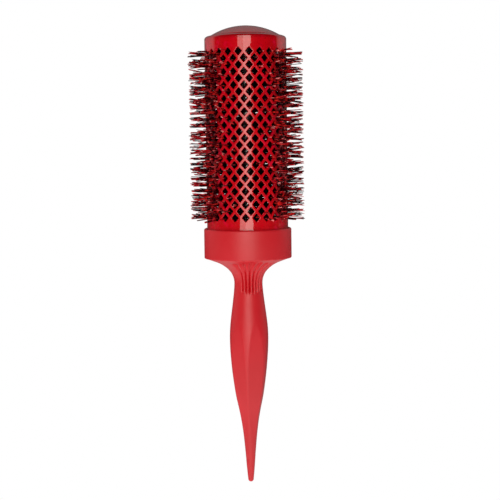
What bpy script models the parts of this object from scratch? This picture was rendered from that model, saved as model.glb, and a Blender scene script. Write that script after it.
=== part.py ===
"""Thermal round brush for hair.

A perforated metal barrel goes over a twisted wire core, whose nylon filaments come out
through the holes in 28 rows.  A collar joins the barrel to a faceted soft-touch grip.
The brush's axis is Z, the origin is the centre of the grip at its widest, and -Y is the
middle of one of the barrel's two strips without bristles.  Angles are in degrees, from -Y toward +X.
"""

import math

import bmesh
import bpy
from mathutils import Vector
from mathutils.geometry import delaunay_2d_cdt

MM = 0.001  # every length below is in millimetres
GAP = 0.3  # clearance left between neighbouring pieces

# Barrel tube
BARREL_RADIUS = 21.5
BARREL_WALL = 0.8
BARREL_BOTTOM = 48.6
BARREL_STRAIGHT_TOP = 158.0
BARREL_TOP = 162.0
LIP_RADIUS = 18.6
FOOT_CHAMFER = 0.2
SHOULDER_ROUNDING = 1.5
LIP_RISE = 0.35

# Staggered diamond holes: 48 columns, in two halves.  Bristles fill the middle of each half, and
# the front and back of the barrel are clear.
COLUMNS = 48
HALVES = 2
COLUMN_STEP = 360 / COLUMNS
FIRST_COLUMN_ANGLE = -COLUMN_STEP / 2
COLUMNS_PER_HALF = COLUMNS // HALVES
BRISTLE_COLUMNS = range(6, 20)
HOLES_PER_COLUMN = 13
HOLE_PITCH = 6.8
FIRST_HOLE_Z = 67.6
DIAMOND_CORNERS = 4
HOLE_HALF_WIDTH = 2.0
HOLE_HALF_HEIGHT = 2.3
PATTERN_BOTTOM = 50.0

# Bristle rows: a comb of 13 tufts on a common spine
ROW_INNER_RADIUS = 5.9
ROW_SPINE_RADIUS = 8.9
BRISTLE_TIP_RADIUS = 30.0
ROW_BOTTOM = 66.3
ROW_TOP = 153.9
TUFT_HALF_HEIGHT = 1.0
ROW_THICKNESS = {ROW_INNER_RADIUS: 0.45, ROW_SPINE_RADIUS: 0.85, BRISTLE_TIP_RADIUS: 1.3}

# Twisted wire core and what is clamped on it
WIRE_RADIUS = 0.85
TWIST_RADIUS = 1.05
TWIST_LEAD = 8.0
TWIST_STEPS_PER_TURN = 5
WIRE_BOTTOM = 8.0
TWIST_BOTTOM = 62.0
WIRE_TOP = 158.8
CORE_BORE = 2.4
FERRULE_RADIUS = 3.6
BASE_FERRULE_Z = (60.4, 64.8)
TOP_FERRULE_Z = (154.8, 156.1)
ROOTS_BORE = 2.3
ROOTS_RADIUS = ROW_INNER_RADIUS - GAP
ROOTS_Z = (65.2, 154.4)

# Dome cap and the plug under it
DOME_RADIUS = 35.0
DOME_APEX = 167.35
DOME_SHELL = 2.0
DOME_NECK_RADIUS = LIP_RADIUS - GAP
DOME_BORE = 15.5
CAP_FLANGE_RADIUS = 19.9
CAP_FLANGE_Z = (159.9, 160.6)
PLUG_RADIUS = 20.3
PLUG_SKIRT_RADIUS = 18.6
PLUG_Z = (155.3, 159.5)
PLUG_FLOOR = 157.9
PLUG_BOSS_RADIUS = 5.0
PLUG_BOSS_BOTTOM = 156.4

# Collar
COLLAR_RADIUS = 23.2
COLLAR_BORE = 21.85
COLLAR_Z = (45.5, 61.2)
COLLAR_ROUNDING = 0.7
COLLAR_SIDES = 36

# Grip: height and radius of its round outline, from the flare down to the tip
GRIP_OUTLINE = (
    (45.2, 22.3), (43.9, 18.6), (42.6, 15.4), (41.1, 12.9), (39.0, 10.4), (36.5, 8.6), (33.3, 7.6),
    (29.5, 7.6), (22.5, 8.35), (12.0, 9.7), (4.0, 10.4), (-4.0, 10.45), (-13.0, 9.88),
    (-21.0, 8.95), (-29.1, 7.7), (-38.8, 5.6), (-48.5, 3.95), (-58.2, 2.9), (-67.9, 2.15),
)
TIP_RADIUS = 1.5
TIP_CENTRE = -74.8
GRIP_SIDES = 24
FACETS = 6
FACET_STEP = 360 / FACETS
HANDLE_TURN = 20.0
FACET_DEPTH = (
    (9.4, 1.0), (5.2, 0.967), (0.0, 0.941), (-8.0, 0.914), (-20.0, 0.90), (-42.0, 0.905),
    (-50.0, 0.96), (-56.0, 1.0),
)

# Handle core inside the grip, with the spigot that carries the barrel
CORE_SIDES = 24
CORE_BOTTOM = -36.0
CORE_SHOULDER = 42.6
CORE_STATIONS = (-30.0, -20.0, -8.0, 4.0, 16.0, 27.0, 34.0, 37.5, 40.5, CORE_SHOULDER)
SKIN_THICKNESS = 2.2
CORE_NECK_RADIUS = 14.0
CORE_FLANGE_RADIUS = 21.5
CORE_FLANGE_Z = (45.6, 48.3)
SPIGOT_RADIUS = 20.4
SPIGOT_BORE = 18.2
SPIGOT_TOP = 60.0
SPIGOT_FLOOR = 50.0
BOSS_RADIUS = 5.0
BORE_BOTTOM = 6.0

# Radial pins through the barrel and the spigot, under the collar
PIN_COUNT = 2
PIN_Z = 54.5
PIN_RADIUS = 0.9
PIN_HOLE_RADIUS = 1.2
PIN_ENDS = (18.4, 21.4)
FIRST_PIN_ANGLE = 90.0


def clear_scene():
    for existing in list(bpy.data.objects):
        bpy.data.objects.remove(existing, do_unlink=True)


def polar(radius, angle, z):
    """A point at this radius, angle and height, in metres."""
    turn = math.radians(angle)
    return Vector((radius * math.sin(turn), -radius * math.cos(turn), z)) * MM


def linear(channel):
    value = channel / 255
    return value / 12.92 if value <= 0.04045 else ((value + 0.055) / 1.055) ** 2.4


def material(name, colour, roughness, metallic=0.0, coat=0.0):
    made = bpy.data.materials.new(name)
    made.use_nodes = True
    shader = made.node_tree.nodes["Principled BSDF"]
    shader.inputs["Base Color"].default_value = (*(linear(c) for c in colour), 1.0)
    shader.inputs["Roughness"].default_value = roughness
    shader.inputs["Metallic"].default_value = metallic
    shader.inputs["Coat Weight"].default_value = coat
    made.diffuse_color = shader.inputs["Base Color"].default_value
    return made


def add_object(name, data, finish):
    made = bpy.data.objects.new(name, data)
    data.materials.clear()
    data.materials.append(finish)
    bpy.context.scene.collection.objects.link(made)
    return made


def mesh_from(bm, name, sharp_angle=30.0):
    """Closes the mesh's seams, turns its faces out and shades it smooth."""
    bmesh.ops.remove_doubles(bm, verts=bm.verts, dist=0.001 * MM)
    bmesh.ops.recalc_face_normals(bm, faces=bm.faces)
    mesh = bpy.data.meshes.new(name)
    bm.to_mesh(mesh)
    bm.free()
    mesh.shade_smooth()
    mesh.set_sharp_from_angle(angle=math.radians(sharp_angle))
    return mesh


def ring(bm, radius, z, sides, first_angle=0.0):
    """A ring of vertices, or the one vertex on the axis where the radius is 0."""
    if radius == 0:
        return [bm.verts.new(polar(0, 0, z))]
    step = 360 / sides
    return [bm.verts.new(polar(radius, first_angle + i * step, z)) for i in range(sides)]


def bridge(bm, lower, upper):
    """Faces between two rings; one of them may be a single vertex."""
    for i in range(max(len(lower), len(upper))):
        low_a, low_b = lower[i % len(lower)], lower[(i + 1) % len(lower)]
        up_a, up_b = upper[i % len(upper)], upper[(i + 1) % len(upper)]
        bm.faces.new(list(dict.fromkeys((low_a, low_b, up_b, up_a))))


def turned_strip(bm, profile, sides, first_angle=0.0):
    """Turns a profile of (radius, height) points about the axis; returns its rings."""
    rings = [ring(bm, radius, z, sides, first_angle) for radius, z in profile]
    for lower, upper in zip(rings, rings[1:]):
        bridge(bm, lower, upper)
    return rings


def turned_mesh(name, profile, sides):
    """A solid of revolution; a profile that stays off the axis is closed into a ring."""
    bm = bmesh.new()
    rings = turned_strip(bm, profile, sides)
    if profile[0][0] > 0:
        bridge(bm, rings[-1], rings[0])
    return mesh_from(bm, name)


def arc(centre, radius, start, end, steps):
    """Points of an arc in the (radius, height) plane."""
    angles = [math.radians(start + (end - start) * i / steps) for i in range(steps + 1)]
    return [(centre[0] + radius * math.cos(a), centre[1] + radius * math.sin(a)) for a in angles]


def sphere_height(radius, centre_z, sphere_radius):
    return centre_z + math.sqrt(sphere_radius ** 2 - radius ** 2)


def smooth_value(stations, place):
    """A smooth curve through stations of (place, value) in falling order of place."""
    index = 0
    while index < len(stations) - 2 and place < stations[index + 1][0]:
        index += 1
    (start, a), (end, b) = stations[index], stations[index + 1]

    def slope(i):
        before, after = stations[max(i - 1, 0)], stations[min(i + 1, len(stations) - 1)]
        return (after[1] - before[1]) / (after[0] - before[0])

    span = end - start
    t = min(max((place - start) / span, 0.0), 1.0)
    bend_a = slope(index) * span
    bend_b = slope(index + 1) * span
    return (
        a * (1 + 2 * t) * (1 - t) ** 2 + bend_a * t * (1 - t) ** 2
        + b * t * t * (3 - 2 * t) - bend_b * t * t * (1 - t)
    )


def column_angle(column):
    return FIRST_COLUMN_ANGLE + column * COLUMN_STEP


def column_hole_heights(column):
    """Neighbouring columns are half a pitch apart."""
    first = FIRST_HOLE_Z + (column % 2) * HOLE_PITCH / 2
    return [first + row * HOLE_PITCH for row in range(HOLES_PER_COLUMN)]


def diamond(across, z):
    return [
        (across + HOLE_HALF_WIDTH, z), (across, z + HOLE_HALF_HEIGHT),
        (across - HOLE_HALF_WIDTH, z), (across, z - HOLE_HALF_HEIGHT),
    ]


def along_wall(angle):
    """Distance along the barrel's outer circumference."""
    return math.radians(angle) * BARREL_RADIUS


def half_wall_holes():
    """Outlines of the holes in one half of the wall, unrolled flat from its first column."""
    holes = []
    for column in BRISTLE_COLUMNS:
        across = along_wall(column * COLUMN_STEP)
        holes += [diamond(across, z) for z in column_hole_heights(column)]
    across = along_wall(FIRST_PIN_ANGLE - FIRST_COLUMN_ANGLE)
    holes.append(arc((across, PIN_Z), PIN_HOLE_RADIUS, 0, 315, 7))
    return holes


def is_inside(outline, point):
    """Whether a point is inside a convex outline given anticlockwise."""
    pairs = zip(outline, outline[1:] + outline[:1])
    return all(
        (bx - ax) * (point[1] - ay) - (by - ay) * (point[0] - ax) > 0 for (ax, ay), (bx, by) in pairs
    )


def half_wall_triangles(holes):
    """Triangles of one unrolled half of the wall, with its holes left open."""
    columns = range(COLUMNS_PER_HALF + 1)
    bottom = [(along_wall(i * COLUMN_STEP), PATTERN_BOTTOM) for i in columns]
    top = [(x, BARREL_STRAIGHT_TOP) for x, _ in bottom]
    points = bottom + top
    edges = []
    for i in range(COLUMNS_PER_HALF):
        edges += [(i, i + 1), (len(bottom) + i, len(bottom) + i + 1)]
    edges += [(i, len(bottom) + i) for i in columns if i not in BRISTLE_COLUMNS]
    for column, lowest_hole in zip(BRISTLE_COLUMNS, range(0, len(holes), HOLES_PER_COLUMN)):
        lowest_corner = len(points) + lowest_hole * DIAMOND_CORNERS + 3
        edges.append((column, lowest_corner))
    for outline in holes:
        first = len(points)
        points += outline
        count = len(outline)
        edges += [(first + i, first + (i + 1) % count) for i in range(count)]
    flat = [Vector(point) for point in points]
    corners, _, faces, *_ = delaunay_2d_cdt(flat, edges, [], 0, 1e-5, False)
    kept = []
    for face in faces:
        triangle = [corners[i] for i in face]
        middle = sum(triangle, Vector((0, 0))) / len(triangle)
        if not any(is_inside(outline, middle) for outline in holes):
            kept.append(triangle)
    return kept


def rolled_top_profile():
    """From the straight wall over the rolled shoulder to the lip, and back down inside."""
    corner = SHOULDER_ROUNDING
    centre = (BARREL_RADIUS - corner, BARREL_TOP - LIP_RISE - corner)
    outer = arc(centre, corner, 0, 75, 3)
    inner = arc(centre, corner - BARREL_WALL, 75, 0, 2)
    lip = [(LIP_RADIUS, BARREL_TOP), (LIP_RADIUS, BARREL_TOP - BARREL_WALL)]
    start = [(BARREL_RADIUS, BARREL_STRAIGHT_TOP)]
    end = [(BARREL_RADIUS - BARREL_WALL, BARREL_STRAIGHT_TOP)]
    return start + outer + lip + inner + end


def barrel_foot_profile():
    inner = BARREL_RADIUS - BARREL_WALL
    return [
        (BARREL_RADIUS, PATTERN_BOTTOM), (BARREL_RADIUS, BARREL_BOTTOM + FOOT_CHAMFER),
        (BARREL_RADIUS - FOOT_CHAMFER, BARREL_BOTTOM), (inner, BARREL_BOTTOM), (inner, PATTERN_BOTTOM),
    ]


def barrel_tube_mesh():
    """The perforated wall, both faces and the sides of its holes, with its foot and rolled top."""
    bm = bmesh.new()
    radii = (BARREL_RADIUS, BARREL_RADIUS - BARREL_WALL)
    holes = half_wall_holes()
    triangles = half_wall_triangles(holes)
    for half in range(HALVES):
        first_angle = column_angle(half * COLUMNS_PER_HALF)

        def wall_vertex(point, radius):
            angle = first_angle + math.degrees(point[0] / BARREL_RADIUS)
            return bm.verts.new(polar(radius, angle, point[1]))

        for triangle in triangles:
            for radius in radii:
                bm.faces.new([wall_vertex(point, radius) for point in triangle])
        for outline in holes:
            for a, b in zip(outline, outline[1:] + outline[:1]):
                corners = ((a, radii[0]), (b, radii[0]), (b, radii[1]), (a, radii[1]))
                bm.faces.new([wall_vertex(point, radius) for point, radius in corners])
    turned_strip(bm, rolled_top_profile(), COLUMNS, FIRST_COLUMN_ANGLE)
    turned_strip(bm, barrel_foot_profile(), COLUMNS, FIRST_COLUMN_ANGLE)
    return mesh_from(bm, "barrel_tube")


def collar_mesh():
    """A plain band with its outer edges rounded."""
    low, high = COLLAR_Z
    edge = COLLAR_ROUNDING
    centre = COLLAR_RADIUS - edge
    profile = [(COLLAR_BORE, low)]
    profile += arc((centre, low + edge), edge, -90, 0, 3)
    profile += arc((centre, high - edge), edge, 0, 90, 3)
    profile.append((COLLAR_BORE, high))
    return turned_mesh("collar", profile, COLLAR_SIDES)


def grip_radius(angle, z):
    """The round outline, cut back on six faces that come to points above and below."""
    radius = smooth_value(GRIP_OUTLINE, z)
    depth = smooth_value(FACET_DEPTH, z)
    off_centre = (angle - HANDLE_TURN + FACET_STEP / 2) % FACET_STEP - FACET_STEP / 2
    return min(radius, depth * radius / math.cos(math.radians(off_centre)))


def core_radius(z):
    return smooth_value(GRIP_OUTLINE, z) - SKIN_THICKNESS - GAP


def core_outline():
    """The outside of the handle core, from its foot up to its neck under the flange."""
    rounding = 1.2
    foot = core_radius(CORE_STATIONS[0]) - rounding
    outline = [(0.0, CORE_BOTTOM), (foot - rounding, CORE_BOTTOM), (foot, CORE_BOTTOM + rounding)]
    outline += [(core_radius(z), z) for z in CORE_STATIONS]
    return outline


def grip_skin_mesh():
    """The soft-touch moulding: a faceted skin with a blind hollow for the handle core."""
    bm = bmesh.new()
    step = 360 / GRIP_SIDES
    angles = [HANDLE_TURN + i * step for i in range(GRIP_SIDES)]
    heights = [z for z, _ in GRIP_OUTLINE] + [0.0, -43.5]
    outside = []
    for z in sorted(heights, reverse=True):
        outside.append([bm.verts.new(polar(grip_radius(a, z), a, z)) for a in angles])
    for radius, z in arc((0, TIP_CENTRE), TIP_RADIUS, 0, -60, 2):
        outside.append(ring(bm, radius, z, GRIP_SIDES, HANDLE_TURN))
    outside.append(ring(bm, 0, TIP_CENTRE - TIP_RADIUS, 1))
    for upper, lower in zip(outside, outside[1:]):
        bridge(bm, upper, lower)
    hollow = [(radius + GAP if radius else 0.0, z) for radius, z in core_outline()]
    hollow[0] = (0.0, CORE_BOTTOM - GAP)
    hollow[1] = (hollow[1][0], CORE_BOTTOM - GAP)
    hollow.append((CORE_NECK_RADIUS + GAP, GRIP_OUTLINE[0][0]))
    inside = turned_strip(bm, hollow, GRIP_SIDES, HANDLE_TURN)
    bridge(bm, inside[-1], outside[0])
    return mesh_from(bm, "grip_skin", 25.0)


def handle_core_mesh():
    """The stiff moulding in the grip, with a flange, a hollow spigot and the wires' bore."""
    profile = core_outline()
    profile += [
        (CORE_NECK_RADIUS, CORE_FLANGE_Z[0]), (CORE_FLANGE_RADIUS, CORE_FLANGE_Z[0]),
        (CORE_FLANGE_RADIUS, CORE_FLANGE_Z[1]), (SPIGOT_RADIUS, CORE_FLANGE_Z[1]),
        (SPIGOT_RADIUS, SPIGOT_TOP), (SPIGOT_BORE, SPIGOT_TOP), (SPIGOT_BORE, SPIGOT_FLOOR),
        (BOSS_RADIUS, SPIGOT_FLOOR), (BOSS_RADIUS, SPIGOT_TOP), (CORE_BORE, SPIGOT_TOP),
        (CORE_BORE, BORE_BOTTOM), (0.0, BORE_BOTTOM),
    ]
    return turned_mesh("handle_core", profile, CORE_SIDES)


def dome_cap_mesh():
    """A thin dome with a neck in the barrel's lip and a flange behind it."""
    centre = DOME_APEX - DOME_RADIUS
    under = DOME_RADIUS - DOME_SHELL
    rim = 0.5
    low, high = CAP_FLANGE_Z
    dome_radii = (DOME_NECK_RADIUS - rim, 15.0, 12.0, 8.5, 4.5)
    profile = [(0.0, DOME_APEX)]
    profile += [(r, sphere_height(r, centre, DOME_RADIUS)) for r in reversed(dome_radii)]
    profile += [
        (DOME_NECK_RADIUS, sphere_height(DOME_NECK_RADIUS, centre, DOME_RADIUS) - rim / 2),
        (DOME_NECK_RADIUS, high), (CAP_FLANGE_RADIUS - 0.7, high), (CAP_FLANGE_RADIUS, high - 0.4),
        (CAP_FLANGE_RADIUS, low), (DOME_BORE, low),
    ]
    profile += [(r, sphere_height(r, centre, under)) for r in (DOME_BORE, 11.0, 6.0)]
    profile.append((0.0, centre + under))
    return turned_mesh("dome_cap", profile, CORE_SIDES)


def cap_plug_mesh():
    """The disc that centres the wires' top end in the barrel and carries the dome."""
    low, high = PLUG_Z
    profile = [
        (0.0, high - GAP), (CORE_BORE, high - GAP), (CORE_BORE, PLUG_BOSS_BOTTOM),
        (PLUG_BOSS_RADIUS, PLUG_BOSS_BOTTOM), (PLUG_BOSS_RADIUS, PLUG_FLOOR),
        (PLUG_SKIRT_RADIUS, PLUG_FLOOR), (PLUG_SKIRT_RADIUS, low), (PLUG_RADIUS, low),
        (PLUG_RADIUS, high), (0.0, high),
    ]
    return turned_mesh("cap_plug", profile, CORE_SIDES)


def sleeve_mesh(name, bore, radius, heights, sides):
    low, high = heights
    return turned_mesh(name, [(bore, low), (radius, low), (radius, high), (bore, high)], sides)


def twist_angle(z, start_angle):
    """The wires are straight up to the twist, then turn to the right as they rise."""
    return start_angle + 360 * max(z - TWIST_BOTTOM, 0.0) / TWIST_LEAD


def core_wire_curve(name, start_angle):
    """One of the two steel wires, as a bevelled curve with closed ends."""
    turns = (WIRE_TOP - TWIST_BOTTOM) / TWIST_LEAD
    steps = math.ceil(turns * TWIST_STEPS_PER_TURN)
    heights = [WIRE_BOTTOM]
    heights += [TWIST_BOTTOM + (WIRE_TOP - TWIST_BOTTOM) * i / steps for i in range(steps + 1)]
    curve = bpy.data.curves.new(name, "CURVE")
    curve.dimensions = "3D"
    curve.bevel_depth = WIRE_RADIUS * MM
    curve.bevel_resolution = 1
    curve.use_fill_caps = True
    spline = curve.splines.new("POLY")
    spline.points.add(len(heights) - 1)
    for point, z in zip(spline.points, heights):
        point.co = (*polar(TWIST_RADIUS, twist_angle(z, start_angle), z), 1.0)
    spline.use_smooth = True
    return curve


def row_cross_section(bm, radius, z):
    """The two vertices, left and right of the row's middle plane, at this radius and height."""
    half = ROW_THICKNESS[radius] / 2
    return [bm.verts.new(Vector((side * half, -radius, z)) * MM) for side in (-1, 1)]


def loft(bm, sections):
    """Closes a loop of cross-sections with outer faces and the two flat sides."""
    for a, b in zip(sections, sections[1:] + sections[:1]):
        bm.faces.new((a[0], a[1], b[1], b[0]))


def bristle_row_mesh(column):
    """A comb of 13 tufts on one spine, pointing along -Y."""
    bm = bmesh.new()
    inner = [row_cross_section(bm, ROW_INNER_RADIUS, z) for z in (ROW_TOP, ROW_BOTTOM)]
    spine = [row_cross_section(bm, ROW_SPINE_RADIUS, ROW_BOTTOM)]
    loop = inner + spine
    for z in column_hole_heights(column):
        low, high = z - TUFT_HALF_HEIGHT, z + TUFT_HALF_HEIGHT
        roots = [row_cross_section(bm, ROW_SPINE_RADIUS, h) for h in (low, high)]
        tips = [row_cross_section(bm, BRISTLE_TIP_RADIUS, h) for h in (low, high)]
        loop += [roots[0], tips[0], tips[1], roots[1]]
        spine += roots
        for side in (0, 1):
            bm.faces.new([roots[0][side], tips[0][side], tips[1][side], roots[1][side]])
    last = row_cross_section(bm, ROW_SPINE_RADIUS, ROW_TOP)
    loop.append(last)
    spine.append(last)
    loft(bm, loop)
    for side in (0, 1):
        bm.faces.new([section[side] for section in inner + spine])
    return mesh_from(bm, "bristle_row")


def radial_cylinder(bm, radius, start, end, angle, sides):
    """A short cylinder that points away from the axis at the pins' height."""
    ends = []
    for distance in (start, end):
        corners = []
        for i in range(sides):
            turn = 2 * math.pi * i / sides
            place = polar(distance, angle, PIN_Z + radius * math.sin(turn))
            place += polar(radius * math.cos(turn), angle + 90, 0)
            corners.append(bm.verts.new(place))
        bm.faces.new(corners)
        ends.append(corners)
    bridge(bm, ends[0], ends[1])


def pin_mesh():
    bm = bmesh.new()
    radial_cylinder(bm, PIN_RADIUS, PIN_ENDS[0], PIN_ENDS[1], 0.0, 12)
    return mesh_from(bm, "tube_pin")


def pin_angles():
    return [FIRST_PIN_ANGLE + i * 360 / PIN_COUNT for i in range(PIN_COUNT)]


def add_pin_holes(core):
    """Cuts the pin holes through the spigot's wall."""
    bm = bmesh.new()
    for angle in pin_angles():
        radial_cylinder(bm, PIN_HOLE_RADIUS, SPIGOT_BORE - 1.5, SPIGOT_RADIUS + 1.5, angle, 12)
    cutter = bpy.data.objects.new("pin_hole_cutter", mesh_from(bm, "pin_hole_cutter"))
    bpy.context.scene.collection.objects.link(cutter)
    cutter.hide_render = True
    cutter.display_type = "WIRE"
    cut = core.modifiers.new("pin_holes", "BOOLEAN")
    cut.operation = "DIFFERENCE"
    cut.object = cutter


def add_barrel_and_collar():
    red_metal = material("red_lacquered_metal", (205, 6, 20), 0.22, 0.35, 0.8)
    add_object("barrel_tube", barrel_tube_mesh(), red_metal)
    add_object("dome_cap", dome_cap_mesh(), material("red_lacquer_cap", (196, 12, 24), 0.25, 0.2, 0.8))
    add_object("collar", collar_mesh(), material("red_soft_touch_collar", (196, 22, 34), 0.5))
    add_object("cap_plug", cap_plug_mesh(), material("plug_plastic", (60, 12, 14), 0.6))


def add_handle():
    add_object("grip_skin", grip_skin_mesh(), material("red_soft_touch", (200, 26, 38), 0.55))
    core = add_object("handle_core", handle_core_mesh(), material("core_plastic", (225, 222, 214), 0.5))
    add_pin_holes(core)
    steel = material("pin_steel", (176, 178, 182), 0.3, 1.0)
    pin = pin_mesh()
    for number, angle in enumerate(pin_angles(), 1):
        made = add_object(f"tube_pin_{number}", pin, steel)
        made.rotation_euler.z = math.radians(angle)


def add_wire_core():
    steel = material("wire_steel", (184, 184, 186), 0.28, 1.0)
    for number in (1, 2):
        name = f"core_wire_{number}"
        add_object(name, core_wire_curve(name, 180.0 * (number - 1)), steel)
    ferrule_steel = material("ferrule_steel", (168, 168, 170), 0.35, 1.0)
    for name, heights in (("base_ferrule", BASE_FERRULE_Z), ("top_ferrule", TOP_FERRULE_Z)):
        add_object(name, sleeve_mesh(name, CORE_BORE, FERRULE_RADIUS, heights, 16), ferrule_steel)
    roots = sleeve_mesh("filament_roots", ROOTS_BORE, ROOTS_RADIUS, ROOTS_Z, 24)
    add_object("filament_roots", roots, material("root_nylon", (70, 8, 14), 0.5))


def add_bristle_rows():
    nylon = material("bristle_nylon", (120, 6, 16), 0.35)
    meshes = [bristle_row_mesh(0), bristle_row_mesh(1)]
    number = 0
    for half in range(HALVES):
        for place in BRISTLE_COLUMNS:
            column = half * COLUMNS_PER_HALF + place
            number += 1
            made = add_object(f"bristle_row_{number:02d}", meshes[column % 2], nylon)
            made.rotation_euler.z = math.radians(column_angle(column))


clear_scene()
add_barrel_and_collar()
add_handle()
add_wire_core()
add_bristle_rows()
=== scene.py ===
import math
import random

import bmesh
import bpy
from mathutils import Matrix, Vector


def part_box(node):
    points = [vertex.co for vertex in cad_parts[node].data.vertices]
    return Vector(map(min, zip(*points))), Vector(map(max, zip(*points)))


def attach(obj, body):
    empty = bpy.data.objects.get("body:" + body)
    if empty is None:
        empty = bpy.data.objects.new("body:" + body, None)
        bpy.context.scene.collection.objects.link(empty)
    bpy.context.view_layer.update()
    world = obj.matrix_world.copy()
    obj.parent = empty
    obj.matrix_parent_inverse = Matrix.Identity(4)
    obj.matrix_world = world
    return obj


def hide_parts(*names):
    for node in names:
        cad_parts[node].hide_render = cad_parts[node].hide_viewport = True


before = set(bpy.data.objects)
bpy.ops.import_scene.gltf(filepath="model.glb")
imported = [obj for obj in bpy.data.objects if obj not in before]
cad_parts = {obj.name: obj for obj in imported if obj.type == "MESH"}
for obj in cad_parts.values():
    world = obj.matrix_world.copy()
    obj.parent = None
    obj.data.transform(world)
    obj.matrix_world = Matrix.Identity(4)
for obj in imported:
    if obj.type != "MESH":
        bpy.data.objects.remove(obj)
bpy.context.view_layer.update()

MM = 0.001
BODY = "root"


def cad_heights(node):
    """The lowest and highest point of a CAD node, in millimetres."""
    low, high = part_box(node)
    return low.z / MM, high.z / MM


# Barrel
BARREL_RADIUS = 21.5
BARREL_WALL = 0.8
BARREL_BOTTOM, BARREL_TOP = cad_heights("barrel_tube")
BARREL_STRAIGHT_TOP = BARREL_TOP - 4.0
SHOULDER_ROUNDING = 1.5
LIP_RADIUS = 18.6
LIP_RISE = 0.35

# Hole pattern: rows of holes lie half a pitch apart, and neighbouring columns alternate
COLUMNS = 48
COLUMN_STEP = 360 / COLUMNS
FIRST_COLUMN_ANGLE = -COLUMN_STEP / 2
COLUMNS_PER_HALF = 24
BRISTLE_COLUMNS = range(6, 20)
ROW_STEP = 3.4
FIRST_ROW_Z = BARREL_BOTTOM + 19.0
LAST_ROW = 25
HOLE_HALF_WIDTH = 2.0
HOLE_HALF_HEIGHT = 2.3
HOLE_CORNER = 0.42
HOLE_POINTS = 12

# Rings of points from the outside of a hole in: how far the outline has grown, and how deep it lies
HOLE_RINGS = (
    (0.42, 0.0), (0.26, 0.0), (0.16, 0.02), (0.076, 0.076), (0.02, 0.16), (0.0, 0.26), (0.0, BARREL_WALL),
)

# Bristles
FILAMENT_RADIUS = 0.20
FILAMENT_VARIATION = (0.86, 1.08)
FILAMENT_SIDES = 6
CLUMPS_PER_TUFT = 2
FILAMENTS_PER_CLUMP = (2, 2, 3, 3)
BAND_EDGE_COLUMNS = 3
BRISTLE_TIP_RADIUS = 30.4

# Rings that round a filament's tip: how far past its end and how wide, both in filament radii
FILAMENT_TIP = ((0.6, 0.72), (0.9, 0.0))

# How filaments scatter; pairs are across a hole and up it, and a fan is a slope away from straight out
CLUMP_PLACES = (1.1, 1.45)
CLUMP_SHARE_OF_HOLE = 0.62
CLUMP_FAN_PER_OFFSET = (0.10, 0.07)
CLUMP_FAN_SPREAD = (0.05, 0.06)
CLUMP_SHORTFALL = 0.35
FILAMENT_PLACES = (0.3, 0.34)
FILAMENT_FAN_SPREAD = (0.02, 0.022)
FILAMENT_SHORTFALL = 0.5
FILAMENT_BEND = 0.12

# Filaments inside the barrel: how they leave the wires, and those that are clamped or miss the holes
ROOT_RADIUS = 2.1
ROOT_SIDEWAYS = 0.35
ROOT_RISE = 3.4
HALFWAY_RADIUS = 13.0
FILAMENT_ROOTS = 520
FILAMENT_ROOT_RADIUS = 0.16
FILAMENT_ROOT_REACH = (2.4, 3.6)
FILAMENT_ROOT_TURN = 22
INNER_FILAMENTS = 700
INNER_ANGLES = (8.0, 38.0)
INNER_TIP_RADII = (15.0, 19.8)
INNER_SLOPES = (0.06, 0.08)

# Stray filaments: how likely they are up to each angle from a strip's middle, and how far out they go
STRAY_CHANCES = ((7.5, 0.06), (15.0, 0.28), (22.5, 0.65), (30.0, 0.92), (37.5, 0.97))
STRAYS_PER_HOLE = (1, 2, 3, 4)
STRAY_REACH = 27.0
STRAY_TIP_RADIUS = BRISTLE_TIP_RADIUS - 0.6
STRAY_SHORTFALL = 1.2

# Twisted wires, and the ferrules round them
WIRE_RADIUS = 0.85
TWIST_RADIUS = 1.05
TWIST_LEAD = 8.0
TWIST_BOTTOM = BARREL_BOTTOM + 13.4
TWIST_POINTS_PER_TURN = 28
WIRE_BOTTOM, WIRE_TOP = cad_heights("core_wire_1")
CORE_BORE = 2.4
FERRULE_RADIUS = 3.6

# Grip: height and radius of its round outline, then how deep its six faces are cut
GRIP_OUTLINE = (
    (45.3, 22.5), (43.9, 18.6), (42.6, 15.4), (41.1, 12.9), (39.0, 10.4), (36.5, 8.6), (33.3, 7.6),
    (29.5, 7.6), (22.5, 8.35), (12.0, 9.7), (4.0, 10.4), (-4.0, 10.45), (-13.0, 9.88),
    (-21.0, 8.95), (-29.1, 7.7), (-38.8, 5.6), (-48.5, 3.95), (-58.2, 2.9), (-67.9, 2.15), (-74.8, 1.5),
)
TIP_RADIUS = 1.5
FACET_STEP = 60.0
HANDLE_TURN = 20.0
FACET_DEPTH = (
    (10.8, 1.0), (8.9, 0.990), (5.2, 0.967), (0.0, 0.941), (-2.8, 0.930), (-8.0, 0.914), (-20.0, 0.90),
    (-42.0, 0.905), (-50.0, 0.96), (-56.0, 1.0),
)
FACET_EDGE = 0.13
FLUTE_CENTRES = (18.75, 198.75)
FLUTES_EACH_SIDE = 3
FLUTE_STEP = 15.0
FLUTE_DEPTH = 1.1
FLUTE_BOTTOM = 25.8
FLUTE_TOP = 44.6
FLUTE_FADE_LENGTHS = (2.6, 1.4)
GRIP_SIDES = 288
GRIP_RING_STEP = 0.6
SKIN_THICKNESS = 2.2
HOLLOW_NECK_RADIUS = 14.3
HOLLOW_SHOULDER = 42.6
HOLLOW_RING_STEP = 6.0
HOLLOW_BOTTOM = -36.3

# Collar
COLLAR_RADIUS = 23.2
COLLAR_BORE = 21.85
COLLAR_BOTTOM, COLLAR_TOP = cad_heights("collar")
COLLAR_SIDES = 192
COLLAR_SEAT = 0.22

# Dome cap
DOME_RADIUS = 35.0
DOME_SHELL = 2.0
DOME_BOTTOM, DOME_APEX = cad_heights("dome_cap")
DOME_NECK_RADIUS = 18.3
DOME_BORE = 15.5
CAP_FLANGE_RADIUS = 19.9

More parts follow.
